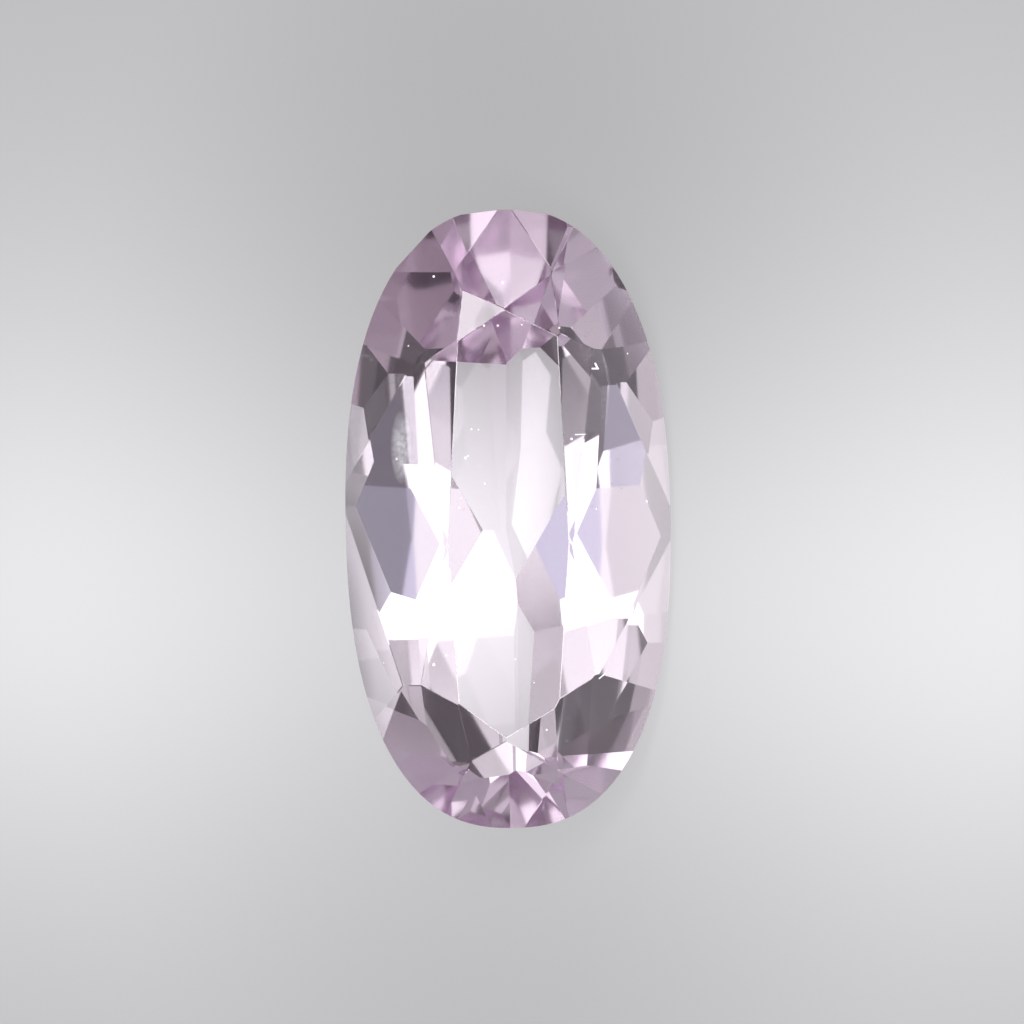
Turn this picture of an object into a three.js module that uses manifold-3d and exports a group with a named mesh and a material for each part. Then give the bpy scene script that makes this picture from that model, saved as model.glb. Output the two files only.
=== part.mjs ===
// A long oval brilliant, cut and polished from one crystal of kunzite.
//
// Millimetres, +Z up. The stone is worked out table up: +Y runs along its length to its north end, +X to its
// east side, and z = 0 is the top edge of the girdle. Every facet is a flat cut, as on a lap, so the stone
// is a rough block with one half-space taken off for each facet. The finished stone is then tipped over
// onto the long pavilion facet that a loose stone of this cut comes to rest on.

import * as THREE from 'three';
import { mergeVertices } from 'three/addons/utils/BufferGeometryUtils.js';
import Module from 'manifold-3d';

const wasm = await Module();
wasm.setup();

// ---- Girdle: an outline a little fuller than an ellipse, turned slightly against the table ----

const girdle = {
  halfWidth: 3.25,
  halfLength: 6.2,
  thickness: 0.2,
  fullnessNorth: 2.32, // 2 would be an ellipse, and more is squarer
  fullnessSouth: 2.44,
  turn: 1, // degrees, anticlockwise
  centre: { east: -0.02, north: 0.04 },
  steps: 120
};

// ---- Crown: eight mains and eight stars round an eight-sided table ----

const crownHeight = 1;

// One row for each main and for the star that follows it, clockwise from north, with their meets in plan.
// corner: where the main meets the table. miss: how far above that corner the main passes, or below it
// where it was cut too deep and took the corner off. star: the outer tip of the star. gap: how far beyond
// that tip the two girdle facets under the star start. tip and split: bearings in degrees, where the main
// and the edge between those girdle facets end.
const crownPlan = [
  { corner: [-0.09, 4.18], miss: 0.01, star: [0.84, 4.88], gap: 0.12, tip: 359.4, split: 12.7 },
  { corner: [0.96, 3.66], miss: 0.03, star: [1.69, 3.41], gap: 0.17, tip: 23.3, split: 38.4 },
  { corner: [1.2, -0.44], miss: 0.01, star: [1.72, -3.12], gap: 0.14, tip: 91.4, split: 139.3 },
  { corner: [1, -3.7], miss: -0.03, star: [0.98, -4.98], gap: 0.07, tip: 155.6, split: 168.3 },
  { corner: [-0.06, -4.34], miss: 0.02, star: [-0.74, -4.8], gap: 0.36, tip: 179.4, split: 192 },
  { corner: [-0.99, -3.66], miss: 0.01, star: [-1.76, -3.3], gap: 0.4, tip: 206.7, split: 213.4 },
  { corner: [-1.22, -0.5], miss: 0.01, star: [-1.69, 3.14], gap: 0.28, tip: 275.3, split: 320.2 },
  { corner: [-1.02, 3.55], miss: 0.01, star: [-0.93, 4.59], gap: 0.44, tip: 333.4, split: 345.2 }
];
const settlingPasses = 20; // how often the mains are settled on their tips to find the stars' heights

// ---- Pavilion: a flat tier of facets along the keel, and a steeper tier under the girdle ----

// The keel is the stone's lowest ridge, and lies a little east of the middle.
const keel = { depth: 2.97, east: 0.06 };
const roughSpare = 0.2; // how much deeper than the keel the rough block starts

// The two long sides were cut a little out of step: `meet` is how far north of the middle the facets of a
// side meet on the keel. ahead: the way that a bearing turns on that side as a facet swings to the north.
const eastSide = { bearing: 90, ahead: -1, meet: -1.4 };
const westSide = { bearing: 270, ahead: 1, meet: -0.2 };

// swing: degrees that a facet faces away from straight out of a long side, to the north, or to the south
// where it is below zero. slope: degrees from the girdle's plane. A facet at an end meets the keel at
// `north`, and higher up by `rise`.
const keelFacets = [
  { swing: 11, slope: 34.5 },
  { swing: -11, slope: 34.5 },
  { swing: 44, slope: 42, north: 2.9, rise: 0.3 },
  { swing: 90, slope: 41, north: 2.9, rise: 0.3 },
  { swing: -90, slope: 52, north: -4.4, rise: 0.45 }
];

// drop: how far below the foot of the girdle the facet would pass. The first three are the long side facets.
const girdleFacets = [
  { swing: 0, slope: 42, drop: 0.1 },
  { swing: 7, slope: 42, drop: 0.08 },
  { swing: -9, slope: 43.5, drop: 0.08 },
  { swing: 4, slope: 46, drop: 0 },
  { swing: -4, slope: 46, drop: 0 },
  { swing: 12, slope: 45.5, drop: 0 },
  { swing: -12, slope: 46.5, drop: 0 },
  { swing: 21, slope: 43.5, drop: 0 },
  { swing: -21, slope: 48.5, drop: 0 },
  { swing: 33, slope: 47.5, drop: 0 },
  { swing: -33, slope: 51, drop: 0 },
  { swing: 58, slope: 48.5, drop: 0 },
  { swing: -58, slope: 53, drop: 0 },
  { swing: 77, slope: 48, drop: 0 },
  { swing: -77, slope: 53, drop: 0 }
];

// ---- Places ----

const degree = Math.PI / 180;
const up = new THREE.Vector3(0, 0, 1);
const down = new THREE.Vector3(0, 0, -1);

const place = ([east, north], z) => new THREE.Vector3(east, north, z);

// The point of the girdle's outline that lies at a bearing from its centre, at the height z.
function girdlePoint(bearing, z) {
  const own = (bearing + girdle.turn) * degree;
  const fullness = Math.cos(own) > 0 ? girdle.fullnessNorth : girdle.fullnessSouth;
  const across = Math.abs(Math.sin(own) / girdle.halfWidth) ** fullness;
  const along = Math.abs(Math.cos(own) / girdle.halfLength) ** fullness;
  const reach = (across + along) ** (-1 / fullness);
  const east = girdle.centre.east + reach * Math.sin(bearing * degree);
  const north = girdle.centre.north + reach * Math.cos(bearing * degree);
  return new THREE.Vector3(east, north, z);
}

// The bearings of the outline's steps, closest together round the two ends, where it turns fastest.
function outlineBearings() {
  const bearings = [];
  for (let step = 0; step < girdle.steps; step++) {
    const turn = ((step + 0.5) / girdle.steps) * 2 * Math.PI;
    const bearing = Math.atan2(girdle.halfWidth * Math.sin(turn), girdle.halfLength * Math.cos(turn));
    bearings.push(bearing / degree);
  }
  return bearings;
}

// ---- Facets, as planes whose normals point out of the stone ----

function facetThrough(a, b, c, side) {
  const plane = new THREE.Plane().setFromCoplanarPoints(a, b, c);
  return plane.normal.dot(side) < 0 ? plane.negate() : plane;
}

const before = (i) => (i + crownPlan.length - 1) % crownPlan.length;
const after = (i) => (i + 1) % crownPlan.length;

// The stars' tips. Each main passes through its corner of the table and the tips of the stars beside it, and
// has to come down to the girdle at its own tip. The mains are settled there one by one and time after time,
// and each time a main's error is shared out between the depths of its two stars.
function starTips() {
  const depths = crownPlan.map(() => 0);
  for (let pass = 0; pass < settlingPasses; pass++) {
    crownPlan.forEach((row, i) => {
      const corner = place(row.corner, 0);
      const [first, second, own] = [
        place(crownPlan[before(i)].star, 0),
        place(row.star, 0),
        girdlePoint(row.tip, 0)
      ].map((point) => point.sub(corner));
      const whole = first.clone().cross(second).z;
      const a = own.clone().cross(second).z / whole;
      const b = first.clone().cross(own).z / whole;
      const error = (crownHeight - a * depths[before(i)] - b * depths[i]) / (a * a + b * b);
      depths[before(i)] += a * error;
      depths[i] += b * error;
    });
  }
  return crownPlan.map((row, i) => place(row.star, crownHeight - depths[i]));
}

// The crown: stars from the table's corners, mains from the tips of the stars, and two girdle facets under
// each star, from a point on the edge between its two mains.
function crownFacets() {
  const facets = [];
  const tips = starTips();
  const mains = crownPlan.map((row, i) =>
    facetThrough(place(row.corner, crownHeight + row.miss), tips[before(i)], tips[i], up)
  );
  crownPlan.forEach((row, i) => {
    const next = after(i);
    const corners = [row, crownPlan[next]].map((end) => place(end.corner, crownHeight));
    const tip = tips[i];
    facets.push(facetThrough(corners[0], corners[1], tip, up));

    const edge = new THREE.Vector3().crossVectors(mains[i].normal, mains[next].normal).normalize();
    if (edge.z > 0) edge.negate();
    const start = tip.clone().addScaledVector(edge, row.gap);
    const split = girdlePoint(row.split, 0);
    for (const bearing of [row.tip, crownPlan[next].tip]) {
      facets.push(facetThrough(start, split, girdlePoint(bearing, 0), up));
    }
  });
  return [...mains, ...facets];
}

// The level direction that a pavilion facet faces.
function facing({ swing }, side) {
  const bearing = (side.bearing + side.ahead * swing) * degree;
  return new THREE.Vector3(Math.sin(bearing), Math.cos(bearing), 0);
}

// A pavilion facet that slopes down to the keel, through a point.
function facetBelow({ slope }, out, point) {
  const normal = out.clone().multiplyScalar(Math.sin(slope * degree));
  normal.addScaledVector(down, Math.cos(slope * degree));
  return new THREE.Plane().setFromNormalAndCoplanarPoint(normal, point);
}

// A facet along the keel goes through the end of the keel, or through the meet of its own side.
function keelFacet(row, side) {
  const { north = side.meet, rise = 0 } = row;
  return facetBelow(row, facing(row, side), place([keel.east, north], rise - girdle.thickness - keel.depth));
}

// A facet under the girdle just touches the foot of the outline, or passes below it.
function girdleFacet(row, side) {
  const out = facing(row, side);
  const points = outlineBearings().map((step) => girdlePoint(step, -girdle.thickness - row.drop));
  const foot = points.reduce((best, point) => (point.dot(out) > best.dot(out) ? point : best));
  return facetBelow(row, out, foot);
}

// ---- Cutting ----

function solidOf(geometry) {
  geometry.deleteAttribute('normal');
  geometry.deleteAttribute('uv');
  const merged = mergeVertices(geometry);
  const vertProperties = merged.attributes.position.array;
  return new wasm.Manifold(new wasm.Mesh({ numProp: 3, vertProperties, triVerts: merged.index.array }));
}

// The rough: the girdle's outline, with the table already flat and some to spare below the keel.
function roughBlock() {
  const corners = outlineBearings().map((bearing) => girdlePoint(bearing, 0));
  const depth = crownHeight + girdle.thickness + keel.depth + roughSpare;
  const outline = new THREE.Shape(corners.map((corner) => new THREE.Vector2(corner.x, corner.y)));
  const block = new THREE.ExtrudeGeometry(outline, { depth, bevelEnabled: false, curveSegments: 1 });
  return solidOf(block.translate(0, 0, crownHeight - depth));
}

// Takes off all of the stone that lies outside a facet.
function cutFacet(stone, facet) {
  const size = 4 * girdle.halfLength;
  const waste = new THREE.BoxGeometry(size, size, size).translate(0, 0, size / 2);
  waste.applyQuaternion(new THREE.Quaternion().setFromUnitVectors(up, facet.normal));
  waste.translate(...facet.coplanarPoint(new THREE.Vector3()).toArray());
  return stone.subtract(solidOf(waste));
}

function geometryOf(solid) {
  const { vertProperties, triVerts } = solid.getMesh();
  const geometry = new THREE.BufferGeometry();
  geometry.setAttribute('position', new THREE.BufferAttribute(vertProperties, 3));
  geometry.setIndex(new THREE.BufferAttribute(triVerts, 1));
  return geometry;
}

// ---- The stone ----

const tier = (rows, facetOf) => rows.flatMap((row) => [facetOf(row, eastSide), facetOf(row, westSide)]);
const pavilion = [...tier(keelFacets, keelFacet), ...tier(girdleFacets, girdleFacet)];
const stone = [...crownFacets(), ...pavilion].reduce(cutFacet, roughBlock());

const kunzite = new THREE.MeshStandardMaterial({
  color: 0xd9c2e0,
  roughness: 0.05,
  metalness: 0,
  flatShading: true
});
const gem = new THREE.Mesh(geometryOf(stone), kunzite);
gem.name = 'kunzite_gem';

// It lies on the long east facet, with the middle of its box over the origin.
const resting = girdleFacet(girdleFacets[0], eastSide);
gem.quaternion.setFromUnitVectors(resting.normal, down);
gem.updateMatrixWorld();
const lying = new THREE.Box3().setFromObject(gem, true);
const middle = lying.getCenter(new THREE.Vector3());
gem.position.set(-middle.x, -middle.y, -lying.min.z);

const part = new THREE.Group();
part.add(gem);

export default part;
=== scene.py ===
# %% [markdown]
# # A long oval kunzite
#
# This lesson dresses one cut gemstone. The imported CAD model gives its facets, each in its true place, so
# what is left for Blender is what makes a stone look like a stone: glass that bends and swallows light, a
# trace of wear along the edges, the ground girdle, dust, and light worth bending.
#
# A gem has hardly any look of its own. Each facet is a small window or mirror, and shows whatever lies in
# the direction that its light comes from. So the lamps are as much a part of the picture as the stone.

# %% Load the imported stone
import math

import bpy
from mathutils import Matrix, Vector


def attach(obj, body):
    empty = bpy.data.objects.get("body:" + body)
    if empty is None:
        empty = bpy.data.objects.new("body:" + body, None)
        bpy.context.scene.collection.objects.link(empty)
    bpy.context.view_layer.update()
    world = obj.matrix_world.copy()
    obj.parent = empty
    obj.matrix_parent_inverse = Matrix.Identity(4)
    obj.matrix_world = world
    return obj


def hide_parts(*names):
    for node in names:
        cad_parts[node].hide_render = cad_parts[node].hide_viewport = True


MM = 0.001

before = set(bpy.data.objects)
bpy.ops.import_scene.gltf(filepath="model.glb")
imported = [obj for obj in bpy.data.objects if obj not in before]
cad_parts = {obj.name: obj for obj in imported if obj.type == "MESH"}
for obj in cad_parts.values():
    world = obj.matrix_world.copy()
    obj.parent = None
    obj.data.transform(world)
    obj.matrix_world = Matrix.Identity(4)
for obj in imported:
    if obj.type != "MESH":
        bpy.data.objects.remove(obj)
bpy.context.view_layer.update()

# %% [markdown]
# ## Directions on a stone that lies on its side
#
# The stone rests on a long facet of its pavilion, the pointed underside, which tips its table, the large
# flat facet on top, 42 degrees towards +X. Camera, lamps and marks are easier to place from the table, so
# the first step is to turn the table's own directions into the scene's: out of the table, along the stone
# to its north end, and across it to its east side. Places are measured from the middle of the girdle, the
# belt round the stone, at its upper edge.

# %% The directions of the table and the middle of the girdle
tilt = math.radians(42)
tipping = Matrix.Rotation(tilt, 3, "Y")
east = tipping @ Vector((1, 0, 0))
north = tipping @ Vector((0, 1, 0))
outward = tipping @ Vector((0, 0, 1))

girdle_centre = Vector((0.1075, -0.0211, 2.3879)) * MM
print("The table faces", [round(part, 3) for part in outward])


def on_stone(east_mm, north_mm, out_mm=0.0):
    """A place measured from the middle of the girdle, in the scene's own coordinates."""
    return girdle_centre + (east * east_mm + north * north_mm + outward * out_mm) * MM


def facing_table(place):
    """The matrix of a thing at a place that looks along the table's axis, with north at its top."""
    return Matrix.Translation(place) @ Matrix((east, north, outward)).transposed().to_4x4()


# %% [markdown]
# ## The camera
#
# The camera looks straight at the table, with the stone's length upright in the picture. It has a long lens
# and stands far away, which shows both ends of the stone at the same size. Blender aims a camera along its
# own -Z axis, with +Y up in the picture, so its three axes are set directly.

# %% Camera
lens_mm = 400
sensor_mm = 36
view_width_mm = 20.48
view_middle_mm = (0.06, 0.16)  # east and north of the middle of the girdle
camera_distance_mm = view_width_mm * lens_mm / sensor_mm

scene = bpy.context.scene
camera = bpy.data.objects.new("camera", bpy.data.cameras.new("camera"))
bpy.context.collection.objects.link(camera)
camera.data.lens = lens_mm
camera.data.sensor_width = sensor_mm
camera.data.clip_start = 1 * MM
camera.matrix_world = facing_table(on_stone(*view_middle_mm, camera_distance_mm))
scene.camera = camera
print("The camera stands", round(camera_distance_mm), "mm away")

# %% [markdown]
# ## Light round the camera
#
# Light that leaves through the table mostly came in through it as well, and turned round on the pavilion
# like light in a bicycle reflector. So a stone seen from the front mainly shows what is round the camera.
#
# Which lamp a facet shows depends only on the angle that its light comes from. So each lamp is set by the
# angles that it covers, east and north of the camera, and by how bright it looks. The turning swaps the
# ends: what is north of the camera lights the stone's south half. The key light is a wide softbox just
# above the camera, and gives the white flanks. The lamps beside and below the camera are mostly dimmer, and
# some are cooler, for grey and lavender facets. Small lamps further out pick single facets. Where no lamp
# stands facets stay dark, so the gaps count as much as the lamps.
#
# The last five lamps are for glints. They show only in the polish of the outer surface, on one small facet
# and along the worn edges, and stand a little nearer than the rest, so that no lamp hides them. All other
# lamps stay out of such reflections, which would lay a pale veil over every facet.

# %% A softbox
lamp_distance = 0.4
glint_nearness = 0.97
white = (1, 1, 1)
cool = (0.82, 0.84, 1)


def softbox(name, west_edge, east_edge, south_edge, north_edge, radiance, colour=white, glints=False):
    """A rectangular lamp with its edges at the given angles from the camera, in degrees."""
    distance = lamp_distance * (glint_nearness if glints else 1)
    left, right, bottom, top = (
        distance * math.tan(math.radians(edge)) for edge in (west_edge, east_edge, south_edge, north_edge)
    )
    lamp = bpy.data.objects.new(name, bpy.data.lights.new(name, "AREA"))
    bpy.context.collection.objects.link(lamp)
    lamp.visible_camera = False
    lamp.visible_glossy = glints
    lamp.visible_transmission = not glints
    lamp.data.shape = "RECTANGLE"
    lamp.data.size = right - left
    lamp.data.size_y = top - bottom
    lamp.data.energy = radiance * math.pi * lamp.data.size * lamp.data.size_y
    lamp.data.color = colour
    lamp.matrix_world = facing_table(
        on_stone((left + right) / 2 / MM, (bottom + top) / 2 / MM, distance / MM)
    )
    print(name, "shines with", round(lamp.data.energy, 3), "W")


# %% Lamps that show inside the stone
# Each has a name, its west, east, south and north edges, its radiance, and its colour if it isn't white.
inner_lamps = (
    ("key_above", -26, 30, 9, 24, 1.9),
    ("key_rim", -26, 30, 24, 28, 1.1),
    ("edge_left", -36, -26, 10, 18, 1),
    ("high_left", -40, -21, 24, 50, 0.6),
    ("finger_left", -21, -11, 30, 34, 1.2),
    ("high_middle", -14, 0, 38, 45, 0.5),
    ("high_right", 6, 17, 28, 37, 0.6),
    ("edge_right", 17, 32, 28, 41, 0.7),
    ("middle_right", 0, 14, -9, 9, 1.1),
    ("fill_right", 14, 24, -9, 9, 0.8),
    ("middle_left", -13, 0, -9, 9, 0.85, cool),
    ("fill_left", -24, -13, -9, 9, 0.3, cool),
    ("low_left", -26, -14, -24, -9, 0.12, cool),
    ("low_right", 18, 24, -18, -9, 0.6, cool),
    ("spot_left", -14, -4, -22, -9, 1.6),
    ("spot_right", 4, 18, -18, -9, 2),
    ("band_left", -22, -10, -29, -24, 0.45),
    ("band_right", 10, 13, -27, -18, 1.6),
    ("band_edge", 13, 24, -24, -18, 0.35, cool),
    ("band_low", 14, 24, -29, -24, 0.9),
    ("strip_left", -36, -27, -30, -17, 1.9),
    ("strip_right", 24, 34, -30, -11, 0.55),
    ("far_above_left", -42, -26, 50, 60, 0.7),
    ("far_above_right", 17, 25, 46, 55, 0.7),
    ("far_above_edge", 25, 42, 40, 55, 1.2),
    ("far_above_middle", -32, -24, 54, 63, 1.3),
    ("far_left", -66, -48, 60, 74, 1.2),
    ("far_below_left", -24, -16, -54, -42, 1.5),
    ("far_below_right", 14, 26, -54, -42, 1.4),
    ("far_below", -12, -2, -68, -58, 1.1),
    ("far_below_middle", 8, 14, -68, -59, 0.6),
)
for row in inner_lamps:
    softbox(*row)

# %% Lamps that show only as glints on the outside
facet_glint = 8
edge_glint = 5
glint_lamps = (
    ("star_glint", -24, -7, 16, 30, facet_glint),
    ("edge_glint_left", -34, -18, -14, 14, edge_glint),
    ("edge_glint_right", 10, 28, -14, 14, edge_glint),
    ("edge_glint_above", -6, 14, 8, 19, edge_glint),
    ("edge_glint_below", -12, 12, -20, -8, edge_glint),
)
for row in glint_lamps:
    softbox(*row, glints=True)

# %% [markdown]
# ## Shader maths in Python
#
# Blender's shaders are graphs of small nodes, and a formula soon takes a dozen of them. Placed by hand they
# are hard to read, so two small classes hide them. `Number` wraps one output of a node and gives it
# Python's operators, so that `1 - mask * 0.5` adds the Math nodes that it needs. `Graph` makes every other
# node in one way: its type, its settings, and what goes into its sockets. A first formula, the soft oval,
# is used for light on the floor and for dust on the stone.

# %% A number that varies over a surface
class Number:
    """One output socket, with arithmetic."""

    def __init__(self, graph, socket):
        self.graph = graph
        self.socket = socket

    def maths(self, operation, *terms, clamp=False):
        values = dict(enumerate(terms))
        return self.graph.node("ShaderNodeMath", {"operation": operation, "use_clamp": clamp}, values)

    def __add__(self, other):
        return self.maths("ADD", self, other)

    def __sub__(self, other):
        return self.maths("SUBTRACT", self, other)

    def __rsub__(self, other):
        return self.maths("SUBTRACT", other, self)

    def __mul__(self, other):
        return self.maths("MULTIPLY", self, other)

    def __truediv__(self, other):
        return self.maths("DIVIDE", self, other)

    def __pow__(self, other):
        return self.maths("POWER", self, other)

    def __lt__(self, other):
        return self.maths("LESS_THAN", self, other)

    def __gt__(self, other):
        return self.maths("GREATER_THAN", self, other)

    __radd__ = __add__
    __rmul__ = __mul__

    def abs(self):
        return self.maths("ABSOLUTE", self)

    def clamped(self):
        return self.maths("ADD", self, 0, clamp=True)

    def or_more(self, other):
        return self.maths("MAXIMUM", self, other)


# %% A graph of nodes
class Graph:
    """The nodes of one material, or of the world."""

    def __init__(self, owner):
        owner.use_nodes = True
        self.nodes = owner.node_tree.nodes
        self.links = owner.node_tree.links
        self.nodes.clear()

    def node(self, kind, settings=None, values=None, output=0):
        made = self.nodes.new(kind)
        for name, setting in (settings or {}).items():
            if name == "stops":
                self.set_stops(made.color_ramp, setting)
            else:
                setattr(made, name, setting)
        for name, value in (values or {}).items():
            if isinstance(value, Number):
                self.links.new(value.socket, made.inputs[name])
            else:
                made.inputs[name].default_value = value
        return Number(self, made.outputs[output]) if made.outputs else made

    def mixed(self, share, first, second):
        """A colour that runs from the first to the second."""
        # A Mix node also has sockets for numbers and vectors. These are the places of those for colours.
        share_in, first_in, second_in, colour_out = 0, 6, 7, 2
        values = {share_in: share, first_in: first, second_in: second}
        return self.node("ShaderNodeMix", {"data_type": "RGBA"}, values, colour_out)

    def set_stops(self, ramp, stops):
        while len(ramp.elements) < len(stops):
            ramp.elements.new(1)
        for element, (position, value) in zip(ramp.elements, stops):
            element.position = position
            element.color = (value, value, value, 1)


# %% A soft oval
def soft_oval(across, along, middle, halves):
    """A soft spot: 1 in its middle, and 0 from the rim of an oval round it."""
    right = (across - middle[0]) / halves[0]
    up = (along - middle[1]) / halves[1]
    return (1 - right * right - up * up).clamped()


# %% [markdown]
# ## The room
#
# Beyond the softboxes the table looks into a dim room, which gives the dark shapes between the bright
# ones. Further to the sides, and all round the back, stand white walls. Facets whose light comes from there
# look pale and clear. The world needs no picture of a room for that: the angle between a ray and the
# table's axis, whose cosine is a dot product, runs through a ramp from dim to white. The wall to the west
# is the brightest, and those beyond the stone's two ends are dimmer and faintly pink. Like most of the
# lamps, the room stays out of outer reflections.

# %% World
world = bpy.data.worlds.new("studio")
scene.world = world
room = Graph(world)
direction = room.node("ShaderNodeTexCoord", output="Generated")


def share_towards(axis):
    """How far a ray points along an axis, from -1 to 1."""
    return room.node("ShaderNodeVectorMath", {"operation": "DOT_PRODUCT"}, {0: direction, 1: axis}, "Value")


wall_behind = 0.55  # as a share of the wall's light where it is brightest
wall_edge, dim_edge = (math.cos(math.radians(angle)) for angle in (66, 56))
stops = ((0.0, wall_behind), (wall_edge, 1.0), (dim_edge, 0.0))
on_wall = room.node("ShaderNodeValToRGB", {"stops": stops}, {"Fac": share_towards(outward)})
to_north = share_towards(north)
to_ends = to_north.abs()
side_light = 0.95 - 0.2 * share_towards(east)  # 0.75 straight to the east and 1.15 to the west
end_light = 1 - 0.65 * to_ends - 0.1 * to_north  # 0.25 straight to the north and 0.45 to the south
dim = 0.08
brightness = dim + on_wall * (side_light * end_light - dim)

wall_colour = (*white, 1)
end_colour = (1, 0.84, 0.94, 1)
dusk = room.mixed(to_ends, wall_colour, end_colour)
background = room.node("ShaderNodeBackground", {}, {"Strength": brightness, "Color": dusk})
room.node("ShaderNodeOutputWorld", {}, {"Surface": background})
world.cycles_visibility.glossy = False
print("The room takes", len(room.nodes), "nodes")

# %% [markdown]
# ## How the light is counted
#
# A ray in a gem bounces many times before it finds its way out. Blender gives up after a few bounces, and a
# facet then turns black, so the limits are raised. Caustics, the light that a stone throws on what lies
# round it, are slow and grainy to count, so they are off, and a pool of light painted on the floor stands
# in for them. The Standard view shows bright facets as plain white, as a camera does that is set for the
# darker ones.

# %% Bounces and view
bounces = 16
scene.cycles.max_bounces = bounces
scene.cycles.glossy_bounces = bounces
scene.cycles.transmission_bounces = bounces
scene.cycles.caustics_reflective = False
scene.cycles.caustics_refractive = False
scene.view_settings.view_transform = "Standard"
print("A ray may bounce", bounces, "times")

# %% [markdown]
# ## The floor
#
# The stone lies on a pale opal sheet with soft light behind it, like a light table. It is more than a
# background here: the lower facets look straight into it, and its brightness is the brightness of the
# middle of the table. The light is strongest in a broad band across the sheet, and a painted shade makes
# it a little weaker round the stone.
#
# Two soft ovals under the stone are painted into that light. A painted contact shadow lies where the stone
# touches the sheet. Beside it, where the pavilion overhangs, a painted pool of light stands in for the
# light that comes through the stone. The sheet's light is an emission colour, as it changes from place to
# place.

# %% Floor
floor_width = 3
floor_gap_mm = 0.02
bpy.ops.object.select_all(action="DESELECT")
bpy.ops.mesh.primitive_plane_add(size=floor_width, location=(0, 0, -floor_gap_mm * MM))
floor = bpy.context.object
floor.name = "floor"
print("The floor is", floor_width, "m wide and lies", floor_gap_mm, "mm under the stone")

# %% Light from the floor, with its places and reaches in millimetres
opal = bpy.data.materials.new("opal_sheet")
sheet = Graph(opal)
place = sheet.node("ShaderNodeTexCoord", output="Object")
across_mm, along_mm = (sheet.node("ShaderNodeSeparateXYZ", {}, {0: place}, axis) / MM for axis in "XY")

band_middle = -1.5
band_reach = 9
band_length = 60
band = (1 + ((along_mm - band_middle) / band_reach) ** 2 + (across_mm / band_length) ** 2) ** -2
# painted shade: the sheet's light is dimmed round the stone
painted_shade = 0.17 * soft_oval(across_mm, along_mm, middle=(-2.2, 0), halves=(14, 17)) ** 2
# painted contact shadow where the stone rests on the sheet
painted_contact_shadow = 0.35 * soft_oval(across_mm, along_mm, middle=(0.7, -1.6), halves=(1.2, 2))
# painted pool of light beside the stone, standing in for the caustics that are off
painted_light_pool = 0.6 * soft_oval(across_mm, along_mm, middle=(-2.5, -0.9), halves=(3.2, 5.6)) ** 2
far_light = 0.36
band_light = 0.38
lit = far_light + band_light * band - painted_shade - painted_contact_shadow + painted_light_pool

nearly_white = (0.985, 0.975, 1)
glow = sheet.node("ShaderNodeVectorMath", {"operation": "SCALE"}, {0: nearly_white, "Scale": lit})
opal_shader = sheet.node(
    "ShaderNodeBsdfPrincipled",
    {},
    {
        "Base Color": (0.12, 0.12, 0.12, 1),
        "Roughness": 0.9,
        "Specular IOR Level": 0.0,
        "Emission Color": glow,
        "Emission Strength": 1.0,
    },
)
sheet.node("ShaderNodeOutputMaterial", {}, {"Surface": opal_shader})
floor.data.materials.append(opal)
print("The light of the sheet takes", len(sheet.nodes), "nodes")

# %% [markdown]
# ## The stone
#
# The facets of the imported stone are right, so a copy of its mesh is all that is needed. The copy starts
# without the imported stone's custom properties, which are notes on a CAD part. Its mesh arrives as loose
# triangles with stored normals. A stored normal that no longer fits its face would bend light the wrong
# way, so those go first, and Blender works them out from the faces again. Then the triangles are merged,
# and a limited dissolve joins those of each flat facet to one face, so that an edge of the mesh is an edge
# of the stone.

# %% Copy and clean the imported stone
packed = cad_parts["kunzite_gem"]
stone = packed.copy()
stone.data = packed.data.copy()
stone.name = "stone"
for key in list(stone.keys()):
    del stone[key]
bpy.context.collection.objects.link(stone)

merge_distance = 0.0002 * MM
flat_within = math.radians(0.2)
bpy.ops.object.select_all(action="DESELECT")
bpy.context.view_layer.objects.active = stone
stone.select_set(True)
bpy.ops.mesh.customdata_custom_splitnormals_clear()
bpy.ops.object.mode_set(mode="EDIT")
bpy.ops.mesh.select_all(action="SELECT")
bpy.ops.mesh.remove_doubles(threshold=merge_distance)
bpy.ops.mesh.dissolve_limited(angle_limit=flat_within)
bpy.ops.object.mode_set(mode="OBJECT")
bpy.ops.object.shade_flat()
print("The stone has", len(stone.data.polygons), "faces")

# %% [markdown]
# ## Worn edges
#
# No polished edge is perfectly sharp. Handling rounds the edges of the crown, the side of the stone above
# its girdle, over one or two hundredths of a millimetre, and each then catches light along its length as a
# fine line. A Bevel would do, but the stone's facets meet in some very short edges, which hold its width
# back. The stone is convex, so there is another way: one plane is cut along each edge, just under it, and
# what stands proud of the plane is thrown away. Bisect does this in one step, and fills the cut.

# %% Find the edges of the crown
edge_width = 0.018 * MM
shortest_edge = 3 * edge_width
crown_rise = 0.2  # a facet whose normal rises more than this towards the camera belongs to the crown

mesh = stone.data
crown_edges = []
faces_of_edge = {}
for face in mesh.polygons:
    for key in face.edge_keys:
        faces_of_edge.setdefault(key, []).append(face.normal.copy())
for edge in mesh.edges:
    first, second = faces_of_edge[edge.key]
    start, end = (mesh.vertices[corner].co.copy() for corner in edge.vertices)
    on_crown = min(first.dot(outward), second.dot(outward)) > crown_rise
    if on_crown and (end - start).length > shortest_edge:
        crown_edges.append((start, (first + second).normalized(), first.angle(second)))
print("The crown has", len(crown_edges), "edges to soften")

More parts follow.
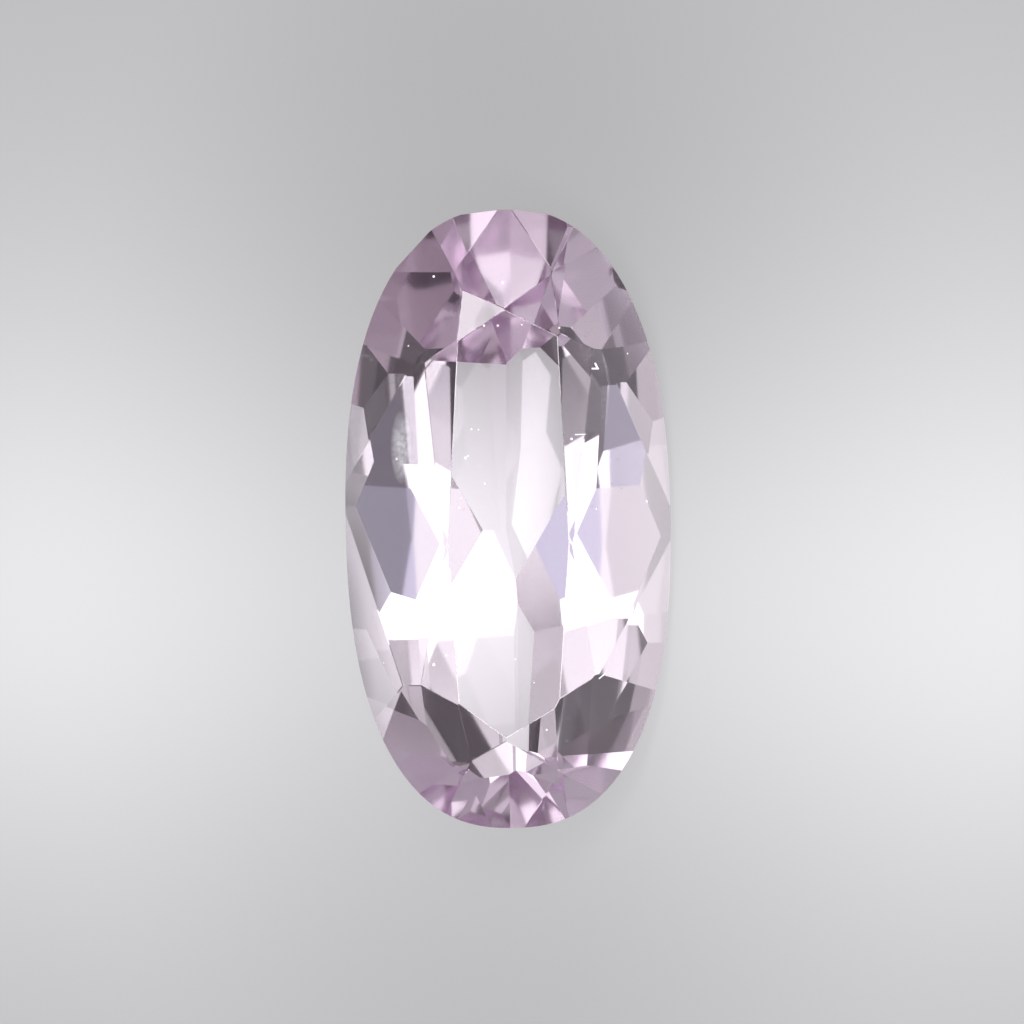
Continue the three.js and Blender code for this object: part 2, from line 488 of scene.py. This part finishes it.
# %% Cut a narrow flat along each of them
cut_tolerance = 0.00001 * MM
bpy.ops.object.mode_set(mode="EDIT")
for start, between, turn in crown_edges:
    depth = edge_width / 2 * math.tan(turn / 2)
    bpy.ops.mesh.select_all(action="SELECT")
    bpy.ops.mesh.bisect(
        plane_co=start - between * depth,
        plane_no=between,
        use_fill=True,
        clear_outer=True,
        threshold=cut_tolerance,
    )
bpy.ops.mesh.select_all(action="SELECT")
bpy.ops.mesh.normals_make_consistent(inside=False)
bpy.ops.object.mode_set(mode="OBJECT")
print("The worn stone has", len(stone.data.polygons), "faces")

# %% [markdown]
# ## The girdle and the handled underside
#
# The girdle is the narrow belt round the widest part of the stone. It is ground and not polished, so it is
# dull and evenly round. Here its small flat faces are picked by their direction, square to the table's
# axis. They are shaded smooth as one belt, with a sharp edge to the facets above and below.
#
# The pavilion is polished, but a stone that has been picked up has a trace of grease there. It is far too
# thin to see, and still softens what the pavilion mirrors, so that shapes deep in the stone are less crisp
# than the edges of the crown. An attribute keeps for the material how dull each face is.

# %% Find the girdle, and note how dull each face is
ground, greasy, polished = 1, 0.14, 0
girdle_rise = 0.1  # the normal of a face of the girdle rises or falls less than this
bpy.ops.object.mode_set(mode="EDIT")
bpy.ops.mesh.select_all(action="DESELECT")
bpy.ops.object.mode_set(mode="OBJECT")
dullness = stone.data.attributes.new("dullness", "FLOAT", "FACE")
for face in stone.data.polygons:
    rise = face.normal.dot(outward)
    face.select = abs(rise) < girdle_rise
    dullness.data[face.index].value = ground if face.select else greasy if rise < 0 else polished
print(sum(face.select for face in stone.data.polygons), "small faces make up the girdle")

# %% Shade the girdle as one round belt
bpy.ops.object.mode_set(mode="EDIT")
bpy.ops.mesh.select_mode(type="FACE")
bpy.ops.mesh.faces_shade_smooth()
bpy.ops.mesh.region_to_loop()
bpy.ops.mesh.mark_sharp()
bpy.ops.object.mode_set(mode="OBJECT")
print(sum(edge.use_edge_sharp for edge in stone.data.edges), "sharp edges border the girdle")

# %% [markdown]
# ## Places on the stone, in millimetres from the middle of its girdle
#
# Dust, scratches and a painted glint lie on the crown, so their material needs to know where it is on the
# crown. A Mapping node turns the object's own coordinates to the table's directions, and scales them to
# millimetres. The three numbers that come out are east, north and height over the girdle's upper edge, and
# formulas can use them directly.

# %% Coordinates for the marks
kunzite = bpy.data.materials.new("kunzite")
gem = Graph(kunzite)
measured = gem.node(
    "ShaderNodeMapping",
    {},
    {
        "Vector": gem.node("ShaderNodeTexCoord", output="Object"),
        "Location": -(tipping.transposed() @ girdle_centre) / MM,
        "Rotation": (0, -tilt, 0),
        "Scale": (1 / MM, 1 / MM, 1 / MM),
    },
)
x_mm, y_mm, height_mm = (gem.node("ShaderNodeSeparateXYZ", {}, {0: measured}, axis) for axis in "XYZ")
lowest_mark_mm = 0.05
crown_side = height_mm > lowest_mark_mm
print("No mark lies lower than", lowest_mark_mm, "mm over the girdle")


def stroke(start, end, width):
    """A line with round ends between two places on the crown."""
    reach = Vector(end) - Vector(start)
    right, up = x_mm - start[0], y_mm - start[1]
    share = ((right * reach.x + up * reach.y) / reach.length_squared).clamped()
    aside, beyond = right - share * reach.x, up - share * reach.y
    return aside * aside + beyond * beyond < (width / 2) ** 2


# %% [markdown]
# ## Dust, a nick, a scratch, a painted glint and a smear
#
# A stone on the bench is never quite clean. Voronoi cells, some eight to a millimetre, each hold one
# possible speck of dust. A cell's own random colour decides whether there is one, and how large it is. Most
# of the dust sits in two patches on the table. The marks are a nick at the edge of a facet, a hairline
# scratch, and a faint smear, and beside them a painted glint, a short bright stroke near the south end.
# They are strokes and spots at set places, as a maker would note them.

# %% Dust
cells_per_mm = 8.0
cells = {"feature": "F1", "voronoi_dimensions": "3D"}
speck_place = {"Vector": measured, "Scale": cells_per_mm}
from_speck = gem.node("ShaderNodeTexVoronoi", cells, speck_place, "Distance")
cell_colour = gem.node("ShaderNodeTexVoronoi", cells, speck_place, "Color")
chance, size = (
    gem.node("ShaderNodeSeparateColor", {}, {0: cell_colour}, part) for part in ("Red", "Green")
)

table_patch = soft_oval(x_mm, y_mm, middle=(-0.84, 1.0), halves=(0.5, 1.2))
north_patch = soft_oval(x_mm, y_mm, middle=(-0.18, 3.9), halves=(0.6, 0.6))
stray = 0.016
crowding = stray + 0.5 * table_patch + 0.3 * north_patch
smallest, spread = 0.08, 0.14  # radii, as shares of a cell
dust = (chance < crowding) * (from_speck < smallest + spread * size)
print("The largest specks are", round(2 * (smallest + spread) / cells_per_mm, 3), "mm wide")

# %% Marks
nick = stroke((1.72, 3.12), (1.76, 3.04), 0.035).or_more(stroke((1.66, 3.02), (1.78, 3.02), 0.03))
# the first stroke is a hairline scratch, the second a painted glint near the south end
scratch_and_painted_glint = stroke((1.32, 1.7), (1.52, 1.71), 0.016).or_more(stroke((1.8, -3.16), (1.92, -3.06), 0.02))
smudge = gem.node("ShaderNodeTexNoise", {}, {"Vector": measured, "Scale": 9.0, "Detail": 4.0}, "Fac")
faintness = 0.5
smear = soft_oval(x_mm, y_mm, middle=(-2.15, 1.45), halves=(0.22, 0.75)) * smudge * faintness

marks_and_glint = crown_side * dust.or_more(nick).or_more(scratch_and_painted_glint).or_more(smear)
print("Dust and marks take", len(gem.nodes), "nodes")

# %% [markdown]
# ## Kunzite
#
# Kunzite is a clear crystal, so its shader is plain glass with the mineral's own refractive index. Its
# lilac isn't a coat of paint: it builds up as light travels through the stone, and is seen best at the two
# ends, where light takes the longest way. A Volume Absorption node does just that, and leaves short ways
# clear.
#
# The ground girdle is rough, and the pavilion has its faint grease. The specks and marks, and the painted
# glint, are a thin white layer over the glass. Dust is so thin that light also shines through it from
# below, and a little emission stands for that as a painted glow.

# %% Glass
refractive_index = 1.665
ground_roughness = 0.35
lilac = (0.7, 0.37, 0.69, 1)
lilac_density = 42

dull = gem.node("ShaderNodeAttribute", {"attribute_name": "dullness"}, output="Fac")
glass = gem.node(
    "ShaderNodeBsdfPrincipled",
    {},
    {
        "Base Color": (*white, 1),
        "Roughness": ground_roughness * dull,
        "IOR": refractive_index,
        "Transmission Weight": 1.0,
    },
)
grime_glint_and_glow = gem.node(
    "ShaderNodeBsdfPrincipled",
    {},
    {
        "Base Color": (0.92, 0.92, 0.95, 1),
        "Roughness": 0.8,
        "Emission Color": (0.95, 0.95, 1, 1),
        "Emission Strength": 0.4,
    },
)
surface = gem.node("ShaderNodeMixShader", {}, {0: marks_and_glint, 1: glass, 2: grime_glint_and_glow})
absorption = gem.node("ShaderNodeVolumeAbsorption", {}, {"Color": lilac, "Density": lilac_density})
gem.node("ShaderNodeOutputMaterial", {}, {"Surface": surface, "Volume": absorption})
stone.data.materials.clear()
stone.data.materials.append(kunzite)
print("The roughness of the pavilion is", round(greasy * ground_roughness, 3))

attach(stone, "root")
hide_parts("kunzite_gem")
